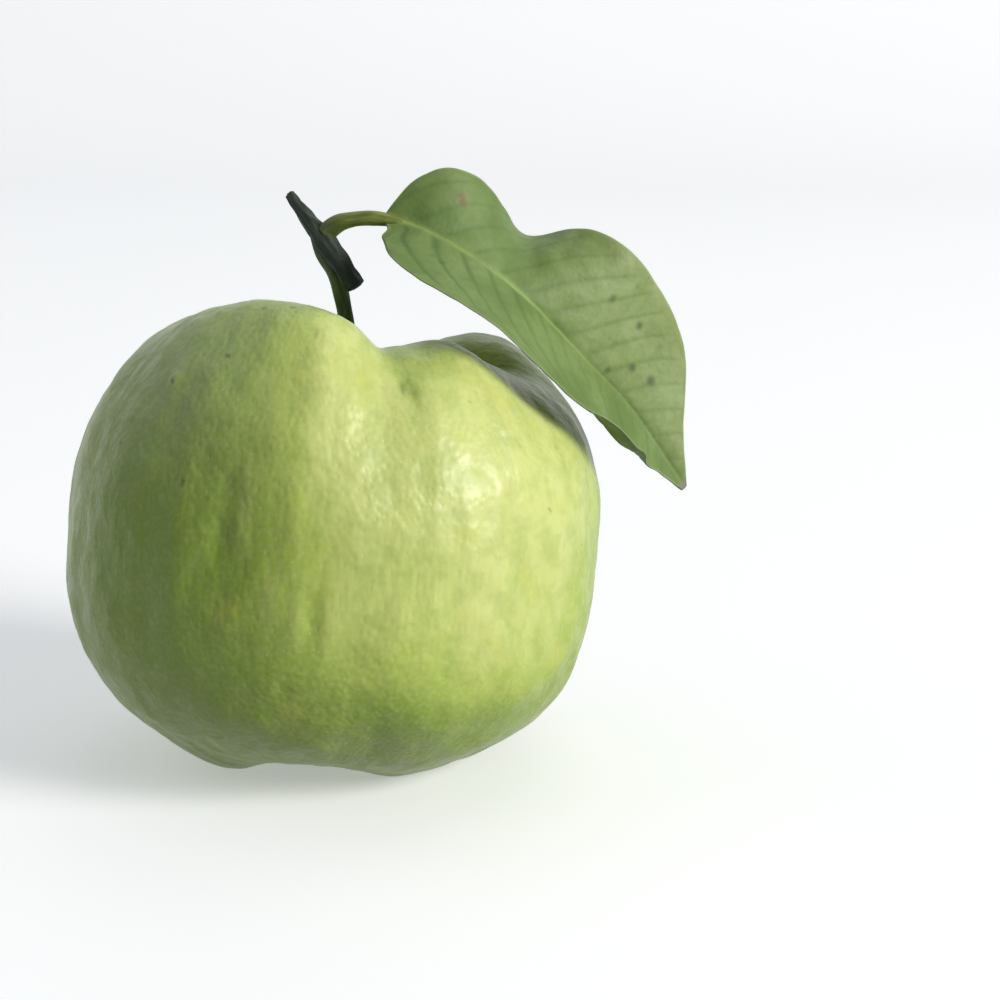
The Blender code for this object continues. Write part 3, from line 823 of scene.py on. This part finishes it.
def make_leaf(look):
    """The folded blade as a thin closed sheet.

    Across it run cosine quilts between veins, which are bell-shaped grooves in its face and ridges on
    its back. It is crinkled by seeded unevenness and thinner at its margin.
    """
    rib = route(RIB_ROUTE, LEAF_ROWS)
    length = np.linalg.norm(np.diff(rib, axis=0), axis=1).sum()
    along = np.linspace(0.002, 1, LEAF_ROWS)
    upper_width = half_widths(along, UPPER_HALF)
    lower_width = half_widths(along, LOWER_HALF)
    columns = np.linspace(0, 1, LEAF_HALF_COLUMNS + 1)
    upper = blade_half(rib, along, upper_width, 1, UPPER_FOLD, columns)
    lower = blade_half(rib, along, lower_width, -1, LOWER_FOLD, columns)
    middle = np.concatenate([lower[:, ::-1], upper[:, 1:]], axis=1)
    place = np.concatenate([-columns[::-1], columns[1:]])
    share = np.abs(place)[None, :] + 0 * along[:, None]
    half_width = np.where(place < 0, lower_width[:, None], upper_width[:, None])
    reach = share * half_width
    normal = sheet_normals(middle)
    if normal[LEAF_ROWS // 2, -LEAF_HALF_COLUMNS // 2, 1] > 0:
        normal = -normal
    along_mm = (along * length)[:, None] + 0 * share
    lane = vein_place(along_mm, reach, (place < 0)[None, :] * 1.0)
    off = np.abs(lane - np.rint(lane)) * VEIN_SPACING
    inside = smooth_step(1 - share, 0.0, 0.22) * smooth_step(reach, 0.0, 1.5 * MM)
    vein = np.exp(-((off / (VEIN_WIDTH * (1 - 0.5 * share))) ** 2)) * inside
    quilt = QUILT_HEIGHT * (0.5 - 0.5 * np.cos(2 * math.pi * lane)) * inside
    crinkle = relief(middle, LEAF_CRINKLES) + relief(middle, LEAF_WAVES) * share
    rib_shape = np.exp(-((reach / RIB_HALF_WIDTH) ** 2))
    groove = RIB_GROOVE * np.exp(-((reach / (0.6 * RIB_HALF_WIDTH)) ** 2))
    rib_ridge = RIB_RIDGE_AT_BASE + (RIB_RIDGE_AT_TIP - RIB_RIDGE_AT_BASE) * np.sqrt(along)[:, None]
    face = 0.5 * LEAF_THICKNESS + quilt - VEIN_GROOVE * vein - groove + crinkle
    back = -0.5 * LEAF_THICKNESS + quilt - VEIN_RIDGE * vein * (1 - 0.6 * share)
    back = back - rib_ridge * rib_shape + crinkle
    thin = 1 - 0.45 * smooth_step(share, 0.93, 1.0)
    face, back = face * thin, back * thin
    points = np.concatenate([
        (middle + face[..., None] * normal).reshape(-1, 3),
        (middle + back[..., None] * normal).reshape(-1, 3),
    ])
    quads = sheet_faces(*share.shape)
    blade = np.stack(np.broadcast_arrays(
        along_mm, np.sign(place)[None, :] * reach, 0 * share), axis=-1).reshape(-1, 3)

    rib_line = np.exp(-((reach / (RIB_LINE_WIDTH * (1.25 - 0.75 * along[:, None]))) ** 2))
    rib_line = rib_line * through(RIB_TONE, along)[:, None]

    def spots(features):
        """Sum of round spots with soft edges."""
        total = np.zeros(share.shape)
        for where, side, radius, strength in features:
            row = int(where * (LEAF_ROWS - 1))
            column = int(round((side + 1) * LEAF_HALF_COLUMNS))
            distance = np.linalg.norm(middle - middle[row, column], axis=2)
            total = total + strength * np.exp(-((distance / radius) ** 3))
        return np.clip(total, 0, 1).reshape(-1)

    def two(values):
        """The same values for the face and the back."""
        return np.concatenate([values.reshape(-1), values.reshape(-1)])

    attributes = {
        "blade": np.vstack([blade, blade]),
        "vein": two(vein),
        "rib": two(rib_line),
        # Share at the margin, for the pale painted highlight along the rim
        "margin": two(smooth_step(share, 1 - 0.55 * MM / np.maximum(half_width, MM), 1.0)),
        "back": np.concatenate([np.zeros(share.size), np.ones(share.size)]),
        "along": two(along[:, None] + 0 * share),
        "upper": two(smooth_step(np.sign(place)[None, :] * reach, -2 * MM, 4 * MM) + 0 * share),
        "dark_spots": np.concatenate([spots(LEAF_DARK_SPOTS), 0.5 * spots(LEAF_DARK_SPOTS)]),
        "red_spots": np.concatenate([spots(LEAF_RED_SPOTS), 0.3 * spots(LEAF_RED_SPOTS)]),
    }
    return make_piece("guava_leaf", points, [quads], look, "leaf_blade", attributes)


# Shaders
def feed(tree, socket, value):
    """Links or sets one socket."""
    if isinstance(value, bpy.types.NodeSocket):
        tree.links.new(value, socket)
    else:
        socket.default_value = value


def add(tree, kind, settings=None, **inputs):
    """One node: settings are its own properties, inputs the values or the sources of its sockets."""
    made = tree.nodes.new(kind)
    for key, value in (settings or {}).items():
        setattr(made, key, value)
    for key, value in inputs.items():
        feed(tree, made.inputs[key.replace("_", " ")], value)
    return made


def sums(tree, operation, first, second=0.5, clamp=False):
    """Result of a sum of one or two numbers."""
    made = tree.nodes.new("ShaderNodeMath")
    made.operation = operation
    made.use_clamp = clamp
    feed(tree, made.inputs[0], first)
    feed(tree, made.inputs[1], second)
    return made.outputs[0]


def mixed(tree, share, first, second):
    """Colour between two, by share."""
    made = tree.nodes.new("ShaderNodeMix")
    made.data_type = "RGBA"
    feed(tree, made.inputs[0], share)
    feed(tree, made.inputs[6], first)
    feed(tree, made.inputs[7], second)
    return made.outputs[2]


def tinted(tree, tone, tint, mask, strength):
    """Tone carried towards a tint where a mask from 0 to 1 is high, at most by the strength."""
    return mixed(tree, sums(tree, "MULTIPLY", mask, strength), tone, tint)


def between(tree, value, low, high, to_low=0.0, to_high=1.0):
    """Number carried smoothly from one range to another."""
    made = add(tree, "ShaderNodeMapRange", {"interpolation_type": "SMOOTHSTEP"})
    feed(tree, made.inputs["Value"], value)
    feed(tree, made.inputs["From Min"], low)
    feed(tree, made.inputs["From Max"], high)
    feed(tree, made.inputs["To Min"], to_low)
    feed(tree, made.inputs["To Max"], to_high)
    return made.outputs["Result"]


def stretched(tree, places, factors):
    """Places multiplied axis by axis."""
    made = tree.nodes.new("ShaderNodeVectorMath")
    made.operation = "MULTIPLY"
    feed(tree, made.inputs[0], places)
    feed(tree, made.inputs[1], factors)
    return made.outputs[0]


def attribute(tree, name, vector=False):
    """Value or vector stored on the mesh."""
    made = add(tree, "ShaderNodeAttribute", {"attribute_name": name})
    return made.outputs["Vector" if vector else "Fac"]


def lay_out(tree):
    """Places the nodes in columns by how far they stand from the output."""
    depth = {node: 0 for node in tree.nodes}
    for _ in range(len(tree.nodes)):
        for link in tree.links:
            depth[link.from_node] = max(depth[link.from_node], depth[link.to_node] + 1)
    rows = {}
    for node, column in depth.items():
        rows[column] = rows.get(column, 0) + 1
        node.location = (-240 * column, -210 * rows[column])


def new_effect(name, inputs, output):
    """Empty node group with named inputs and one output; gives the group, its inputs and the output."""
    tree = bpy.data.node_groups.new(name, "ShaderNodeTree")
    for title, value in inputs.items():
        kind = "NodeSocketVector" if value is None else "NodeSocketFloat"
        socket = tree.interface.new_socket(name=title, in_out="INPUT", socket_type=kind)
        if value is not None:
            socket.default_value = value
    tree.interface.new_socket(name=output, in_out="OUTPUT", socket_type="NodeSocketFloat")
    return tree, tree.nodes.new("NodeGroupInput").outputs, tree.nodes.new("NodeGroupOutput").inputs[0]


def make_patches():
    """Soft uneven patches of a given size in metres, cut between a low and a high level."""
    tree, given, result = new_effect(
        "Uneven patches", {"Places": None, "Size": 0.01, "Detail": 3.0, "Low": 0.4, "High": 0.6}, "Patches")
    noise = add(tree, "ShaderNodeTexNoise", Vector=given["Places"], Detail=given["Detail"],
                Scale=sums(tree, "DIVIDE", 1.0, given["Size"]))
    tree.links.new(between(tree, noise.outputs["Fac"], given["Low"], given["High"]), result)
    lay_out(tree)
    return tree


def make_specks():
    """Small round specks a given distance apart in metres; only a share of the places carries one."""
    tree, given, result = new_effect(
        "Specks", {"Places": None, "Spacing": 0.003, "Radius": 0.0003, "Share": 0.5}, "Specks")
    cells = add(tree, "ShaderNodeTexVoronoi", Vector=given["Places"],
                Scale=sums(tree, "DIVIDE", 1.0, given["Spacing"]))
    away = sums(tree, "MULTIPLY", cells.outputs["Distance"], given["Spacing"])
    wobble = add(tree, "ShaderNodeTexNoise", Vector=given["Places"], Scale=2500.0, Detail=1.0)
    away = sums(tree, "MULTIPLY", away, sums(tree, "ADD", wobble.outputs["Fac"], 0.5))
    inner = sums(tree, "MULTIPLY", given["Radius"], 0.6)
    outer = sums(tree, "MULTIPLY", given["Radius"], 1.3)
    spot = between(tree, away, inner, outer, 1.0, 0.0)
    draw = add(tree, "ShaderNodeSeparateColor", Color=cells.outputs["Color"]).outputs[0]
    tree.links.new(sums(tree, "MULTIPLY", spot, sums(tree, "LESS_THAN", draw, given["Share"])), result)
    lay_out(tree)
    return tree


def make_pores():
    """Height of a fine surface: rounded pores of a given size in metres over waves four times as wide."""
    tree, given, result = new_effect(
        "Fine pores", {"Places": None, "Size": 0.0008, "Waves": 0.5}, "Height")
    scale = sums(tree, "DIVIDE", 1.0, given["Size"])
    cells = add(tree, "ShaderNodeTexVoronoi", {"feature": "SMOOTH_F1"}, Vector=given["Places"], Scale=scale)
    soft = add(tree, "ShaderNodeTexNoise", Vector=given["Places"], Detail=2.0,
               Scale=sums(tree, "MULTIPLY", scale, 0.25))
    waves = sums(tree, "MULTIPLY", soft.outputs["Fac"], given["Waves"])
    tree.links.new(sums(tree, "ADD", cells.outputs["Distance"], waves), result)
    lay_out(tree)
    return tree


def use(tree, effect, **inputs):
    """Output of one of the shared effects in a material."""
    made = tree.nodes.new("ShaderNodeGroup")
    made.node_tree = effect
    for key, value in inputs.items():
        feed(tree, made.inputs[key], value)
    return made.outputs[0]


def new_look(name):
    """Material with one Principled surface; gives the material, its node tree and the surface."""
    look = bpy.data.materials.new(name)
    look.use_nodes = True
    return look, look.node_tree, look.node_tree.nodes["Principled BSDF"]


def settle(shader, values):
    """Sets values that are the same all over the surface on its own sockets."""
    for title, value in values.items():
        shader.inputs[title].default_value = value


def bumped(tree, shader, height, distance):
    """Fine relief of a given depth in metres."""
    bump = add(tree, "ShaderNodeBump", Height=height, Distance=distance, Strength=1.0)
    tree.links.new(bump.outputs["Normal"], shader.inputs["Normal"])


def skin_look(patches, specks, pores):
    """Waxy skin: painted light makes it pale towards the window light and green on its shaded side, over the
    fruit's own ripe side; streaked along, mottled and speckled.
    """
    look, tree, shader = new_look("guava_skin")
    places = add(tree, "ShaderNodeTexCoord").outputs["Object"]
    drum = attribute(tree, "drum", vector=True)
    along = stretched(tree, drum, (1.0, 1.0, 0.22))
    broad = use(tree, patches, Places=along, Size=0.014, Detail=3.0, Low=0.3, High=0.7)
    # Painted light and shade: the tone runs from green on the shaded side to pale yellow towards the window
    # light, partly the fruit's own ripened side
    side = between(tree, attribute(tree, "sunned_and_painted_light"), 0.76, 1.0)
    drift = sums(tree, "MULTIPLY", sums(tree, "SUBTRACT", broad, 0.5), 0.22)
    side = sums(tree, "ADD", side, drift, clamp=True)
    tone = mixed(tree, between(tree, side, 0.0, 0.5), colour(148, 174, 62), colour(184, 202, 94))
    tone = mixed(tree, between(tree, side, 0.45, 1.0), tone, colour(212, 220, 134))
    streak = use(tree, patches, Places=along, Size=0.006, Detail=3.0, Low=0.42, High=0.75)
    tone = tinted(tree, tone, colour(136, 166, 58), streak, 0.3)
    mottle = use(tree, patches, Places=places, Size=0.0034, Detail=5.0, Low=0.42, High=0.64)
    tone = tinted(tree, tone, colour(142, 168, 60), mottle, 0.24)
    grain = use(tree, patches, Places=places, Size=0.0009, Detail=2.0, Low=0.4, High=0.7)
    tone = tinted(tree, tone, colour(222, 228, 164), grain, 0.14)
    # Painted shade: darker green in the furrows
    tone = tinted(tree, tone, colour(140, 164, 78), attribute(tree, "furrow"), 0.3)
    gold = use(tree, patches, Places=places, Size=0.009, Detail=3.0, Low=0.58, High=0.74)
    tone = tinted(tree, tone, colour(206, 208, 96), gold, 0.35)
    pale = use(tree, specks, Places=places, Spacing=0.0024, Radius=0.00020, Share=0.4)
    tone = tinted(tree, tone, colour(226, 230, 170), pale, 0.3)
    dark = use(tree, specks, Places=places, Spacing=0.0085, Radius=0.00022, Share=0.3)
    tone = tinted(tree, tone, colour(100, 112, 52), dark, 0.45)
    # Pale tone on raised marks: the real scars, and painted sheen on the raised ridges
    tone = tinted(tree, tone, colour(206, 210, 136), attribute(tree, "scar_and_sheen"), 0.4)
    # Painted sheen: the upper skin, away from the lit side, is greyed to stand for the reflection of the sky
    level = add(tree, "ShaderNodeSeparateXYZ", Vector=places).outputs["Z"]
    painted_sheen = sums(tree, "MULTIPLY", between(tree, level, 0.045, 0.08), sums(tree, "SUBTRACT", 1.0, side))
    tone = tinted(tree, tone, colour(178, 188, 144), painted_sheen, 0.32)
    tone = mixed(tree, attribute(tree, "stain"), tone, colour(52, 54, 30))
    tone = tinted(tree, tone, colour(92, 112, 52), attribute(tree, "cavity"), 0.75)
    tree.links.new(tone, shader.inputs["Base Color"])
    tree.links.new(sums(tree, "ADD", sums(tree, "MULTIPLY", mottle, 0.12), 0.38), shader.inputs["Roughness"])
    settle(shader, {"Specular IOR Level": 0.42, "Coat Weight": 0.16, "Coat Roughness": 0.27})
    settle(shader, {"Subsurface Weight": 0.12, "Subsurface Scale": 0.004})
    settle(shader, {"Subsurface Radius": (0.6, 1.0, 0.25)})
    height = use(tree, pores, Places=stretched(tree, drum, (1.0, 1.0, 0.8)), Size=0.0011, Waves=2.0)
    bumped(tree, shader, height, 0.00011)
    lay_out(tree)
    return look


def leaf_look(patches, specks, pores):
    """Satin leaf: painted sheen lightens and greys its outer upper half, with veins, rib, a margin painted
    pale as a highlight, paler back and spots.
    """
    look, tree, shader = new_look("guava_leaf")
    places = add(tree, "ShaderNodeTexCoord").outputs["Object"]
    blade = attribute(tree, "blade", vector=True)
    names = ("along", "upper", "vein", "rib", "back")
    along, upper, veins, rib, back = (attribute(tree, name) for name in names)
    broad = use(tree, patches, Places=blade, Size=0.012, Detail=3.0, Low=0.35, High=0.65)
    tone = mixed(tree, broad, colour(104, 128, 66), colour(122, 144, 84))
    # Painted sheen: the outer part of the upper half is lighter and greyer, standing for the sky's reflection
    far = between(tree, along, 0.25, 0.55)
    outer = sums(tree, "MULTIPLY", far, upper)
    tone = mixed(tree, outer, tone, mixed(tree, broad, colour(136, 154, 92), colour(150, 168, 112)))
    fine = use(tree, patches, Places=blade, Size=0.0016, Detail=4.0, Low=0.42, High=0.62)
    tone = tinted(tree, tone, colour(90, 118, 58), fine, 0.18)
    near_base = between(tree, along, 0.2, 0.55, 1.0, 0.0)
    near_base = sums(tree, "MULTIPLY", near_base, sums(tree, "SUBTRACT", 1.0, upper))
    strength = sums(tree, "ADD", sums(tree, "MULTIPLY", near_base, 0.35), 0.3)
    vein = sums(tree, "MULTIPLY", veins, strength)
    tone = mixed(tree, vein, tone, colour(80, 108, 54))
    tone = tinted(tree, tone, colour(152, 176, 100), rib, 0.8)
    # Painted highlight: a pale line along the margin
    tone = tinted(tree, tone, colour(158, 172, 124), attribute(tree, "margin"), 0.6)
    base = between(tree, along, 0.0, 0.07, 1.0, 0.0)
    base = sums(tree, "MULTIPLY", base, rib)
    tone = mixed(tree, base, tone, colour(168, 172, 84))
    under = tinted(tree, colour(118, 136, 92), colour(156, 168, 118), veins, 0.6)
    under = mixed(tree, rib, under, colour(158, 168, 112))
    tone = mixed(tree, back, tone, under)
    pin = use(tree, specks, Places=places, Spacing=0.0052, Radius=0.00020, Share=0.3)
    tone = tinted(tree, tone, colour(70, 84, 44), pin, 0.4)
    tone = tinted(tree, tone, colour(64, 74, 48), attribute(tree, "dark_spots"), 0.7)
    tone = tinted(tree, tone, colour(128, 86, 62), attribute(tree, "red_spots"), 0.65)
    tip = between(tree, along, 0.972, 0.995)
    tone = tinted(tree, tone, colour(126, 130, 112), tip, 0.9)
    tree.links.new(tone, shader.inputs["Base Color"])
    dull = sums(tree, "ADD", sums(tree, "MULTIPLY", back, 0.15), 0.58)
    tree.links.new(dull, shader.inputs["Roughness"])
    settle(shader, {"Specular IOR Level": 0.32})
    height = use(tree, pores, Places=blade, Size=0.00075, Waves=1.4)
    bumped(tree, shader, height, 0.00006)
    lay_out(tree)
    return look


def bark_look(name, effects, light, deep, painted_node_shade, roughness):
    """Stem surface: streaks along it between two tones, small pale and dark specks, and painted shade
    darkening its start.
    """
    patches, specks, pores = effects
    light, deep, painted_node_shade = colour(*light), colour(*deep), colour(*painted_node_shade)
    look, tree, shader = new_look(name)
    grown = attribute(tree, "grown", vector=True)
    drawn_out = stretched(tree, grown, (1.0, 1.0, 0.25))
    streak = use(tree, patches, Places=drawn_out, Size=0.0010, Detail=4.0, Low=0.4, High=0.62)
    tone = mixed(tree, streak, light, deep)
    broad = use(tree, patches, Places=grown, Size=0.004, Detail=2.0, Low=0.4, High=0.65)
    tone = tinted(tree, tone, deep, broad, 0.4)
    # Painted shade: darker over the first third of each stem, the stalks' start being at the node
    shade = between(tree, attribute(tree, "along"), 0.0, 0.35, 1.0, 0.0)
    tone = tinted(tree, tone, painted_node_shade, shade, 0.6)
    pale = use(tree, specks, Places=grown, Spacing=0.0011, Radius=0.00013, Share=0.4)
    tone = tinted(tree, tone, colour(130, 134, 100), pale, 0.3)
    dark = use(tree, specks, Places=grown, Spacing=0.0016, Radius=0.00015, Share=0.35)
    tone = tinted(tree, tone, colour(30, 30, 20), dark, 0.7)
    tree.links.new(tone, shader.inputs["Base Color"])
    settle(shader, {"Roughness": roughness})
    height = use(tree, pores, Places=stretched(tree, grown, (1.0, 1.0, 0.3)), Size=0.0005, Waves=1.5)
    bumped(tree, shader, height, 0.00009)
    lay_out(tree)
    return look


def calyx_look(patches, pores):
    """Dry brown sepals, paler towards the rim."""
    look, tree, shader = new_look("dried_calyx")
    places = add(tree, "ShaderNodeTexCoord").outputs["Object"]
    dry = use(tree, patches, Places=places, Size=0.0012, Detail=4.0, Low=0.38, High=0.65)
    tone = mixed(tree, dry, colour(62, 44, 28), colour(112, 86, 54))
    tone = mixed(tree, between(tree, attribute(tree, "rim"), 0.7, 1.0, 0.0, 0.6), tone, colour(138, 118, 80))
    tree.links.new(tone, shader.inputs["Base Color"])
    settle(shader, {"Roughness": 0.82})
    bumped(tree, shader, use(tree, pores, Places=places, Size=0.0006, Waves=2.0), 0.00015)
    lay_out(tree)
    return look


# Stage
def make_stage():
    """Pale sweep: a flat floor, a quarter circle up and a wall far behind.

    The sweep's own light doesn't reach the shaded side of the fruit.
    """
    bend = np.linspace(0.1, math.pi / 2, 14)
    flat = np.linspace(SWEEP_FRONT, SWEEP_FLOOR_END, 6)
    back = SWEEP_FLOOR_END + SWEEP_RADIUS * np.sin(bend)
    rise = SWEEP_RADIUS - SWEEP_RADIUS * np.cos(bend)
    depth = np.concatenate([flat, back, [SWEEP_FLOOR_END + SWEEP_RADIUS]])
    height = np.concatenate([np.zeros(len(flat)), rise, [SWEEP_TOP]])
    rows = len(depth)
    left = np.stack([np.full(rows, -SWEEP_HALF_WIDTH), depth, height], axis=1)
    right = left * (-1, 1, 1)
    start = np.arange(rows - 1)
    faces = np.stack([start, start + rows, start + rows + 1, start + 1], axis=1)
    mesh = bpy.data.meshes.new("pale_sweep")
    mesh.from_pydata(np.vstack([left, right]).tolist(), [], faces.tolist())
    mesh.shade_smooth()
    look, _, shader = new_look("pale_floor")
    pale = colour(236, 237, 238)
    settle(shader, {"Base Color": pale, "Roughness": 0.6})
    settle(shader, {"Emission Color": pale, "Emission Strength": SWEEP_GLOW})
    mesh.materials.append(look)
    floor = bpy.data.objects.new("pale_sweep", mesh)
    bpy.context.scene.collection.objects.link(floor)
    floor.visible_diffuse = False


def make_light(name, direction, distance, size, watts, tint):
    """Soft square lamp that faces the fruit from a direction."""
    lamp = bpy.data.lights.new(name, "AREA")
    lamp.shape = "SQUARE"
    lamp.size = size
    lamp.energy = watts
    lamp.color = tint
    made = bpy.data.objects.new(name, lamp)
    way = Vector(direction).normalized()
    made.location = Vector(LIGHTS_FACE) + way * distance
    made.rotation_mode = "QUATERNION"
    made.rotation_quaternion = way.to_track_quat("Z", "Y")
    bpy.context.scene.collection.objects.link(made)


def make_camera():
    """Camera at the height and distance that the fruit is seen from."""
    lens = bpy.data.cameras.new("camera")
    lens.lens = LENS_MM
    lens.sensor_width = SENSOR_MM
    lens.clip_start = 0.01
    lens.clip_end = 20
    camera = bpy.data.objects.new("camera", lens)
    camera.location = CAMERA_PLACE
    camera.rotation_euler = (math.radians(90 - VIEW_ELEVATION), 0, 0)
    bpy.context.scene.collection.objects.link(camera)
    bpy.context.scene.camera = camera


def make_world():
    """Faint even light from all sides."""
    world = bpy.data.worlds.new("studio")
    bpy.context.scene.world = world
    world.use_nodes = True
    back = world.node_tree.nodes["Background"]
    settle(back, {"Color": colour(232, 238, 246), "Strength": AIR_LIGHT})


effects = make_patches(), make_specks(), make_pores()
make_skin(skin_look(*effects))
make_calyx(calyx_look(effects[0], effects[2]))
for stem in STEMS:
    make_stem(*stem, bark_look(stem[0] + "_bark", effects, *BARKS[stem[0]]))
make_leaf(leaf_look(*effects))

make_stage()
for light in LIGHTS:
    make_light(*light)
make_world()
make_camera()
bpy.context.scene.view_settings.view_transform = "Standard"
